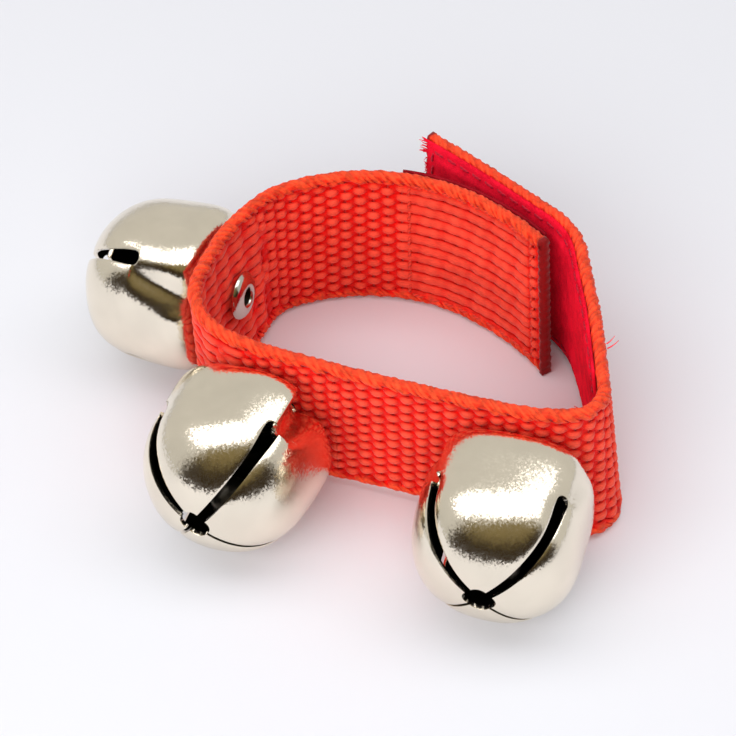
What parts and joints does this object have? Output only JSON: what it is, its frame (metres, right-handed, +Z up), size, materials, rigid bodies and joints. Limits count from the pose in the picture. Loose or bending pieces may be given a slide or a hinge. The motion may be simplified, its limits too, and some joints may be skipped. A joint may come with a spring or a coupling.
{
  "type": "wrist bells",
  "caption": "Webbing wrist strap bent into a loop and closed by a hook-and-loop flap, with cross-slotted jingle bells riveted to its outside, each with a loose pellet.",
  "frame": {"origin": "on the floor under the middle of the whole object, with the strap standing on its lower edge", "axes": "+Z up the strap's width, +Y towards the closed back of the loop, +X towards the flap's side"},
  "size_m": [0.076, 0.0776, 0.0268],
  "materials": {
    "webbing": "plain-woven red webbing with an orange-red selvedge",
    "hook_tape": "dark red hook tape",
    "loop_tape": "crimson brushed loop tape",
    "thread": "red sewing thread",
    "nickel": "bright nickel plate on steel sheet",
    "steel": "nickel-plated steel"
  },
  "bodies": {
    "band": {"strap_band": "webbing", "rivet_left": "steel", "rivet_middle": "steel", "rivet_right": "steel"},
    "tail": {"strap_tail": "webbing", "hook_patch": "hook_tape", "hook_needle_thread": "thread", "hook_bobbin_thread": "thread"},
    "flap": {"strap_flap": "webbing", "loop_patch": "loop_tape", "loop_needle_thread": "thread", "loop_bobbin_thread": "thread"},
    "bell_left": {"bell_shell_left": "nickel"},
    "bell_middle": {"bell_shell_middle": "nickel"},
    "bell_right": {"bell_shell_right": "nickel"},
    "clapper_left": {"pellet_left": "steel"},
    "clapper_middle": {"pellet_middle": "steel"},
    "clapper_right": {"pellet_right": "steel"}
  },
  "joints": [
    {"name": "flap_opening", "type": "hinge", "parent": "band", "child": "flap", "pos_m": [0.03807, -0.01209, 0.0125], "axis": [0, 0, -1], "range_deg": [0, 95]},
    {"name": "tail_flex", "type": "hinge", "parent": "band", "child": "tail", "pos_m": [0.00199, 0.02855, 0.0125], "axis": [0, 0, -1], "range_deg": [0, 30]},
    {"name": "bell_turn_left", "type": "hinge", "parent": "band", "child": "bell_left", "pos_m": [-0.0182, 0.01643, 0.01336], "axis": [-0.9269, 0.3605, -0.1044], "continuous": true},
    {"name": "bell_turn_middle", "type": "hinge", "parent": "band", "child": "bell_middle", "pos_m": [-0.01174, -0.00668, 0.01301], "axis": [-0.4173, -0.9061, -0.0696], "continuous": true},
    {"name": "bell_turn_right", "type": "hinge", "parent": "band", "child": "bell_right", "pos_m": [0.02266, -0.01796, 0.01334], "axis": [-0.287, -0.9513, -0.1127], "continuous": true},
    {"name": "pellet_rise_left", "type": "slide", "parent": "bell_left", "child": "clapper_left", "axis": [0, 0, 1], "range_m": [0, 0.0141]},
    {"name": "pellet_rise_middle", "type": "slide", "parent": "bell_middle", "child": "clapper_middle", "axis": [0, 0, 1], "range_m": [0, 0.0141]},
    {"name": "pellet_rise_right", "type": "slide", "parent": "bell_right", "child": "clapper_right", "axis": [0, 0, 1], "range_m": [0, 0.0141]}
  ]
}
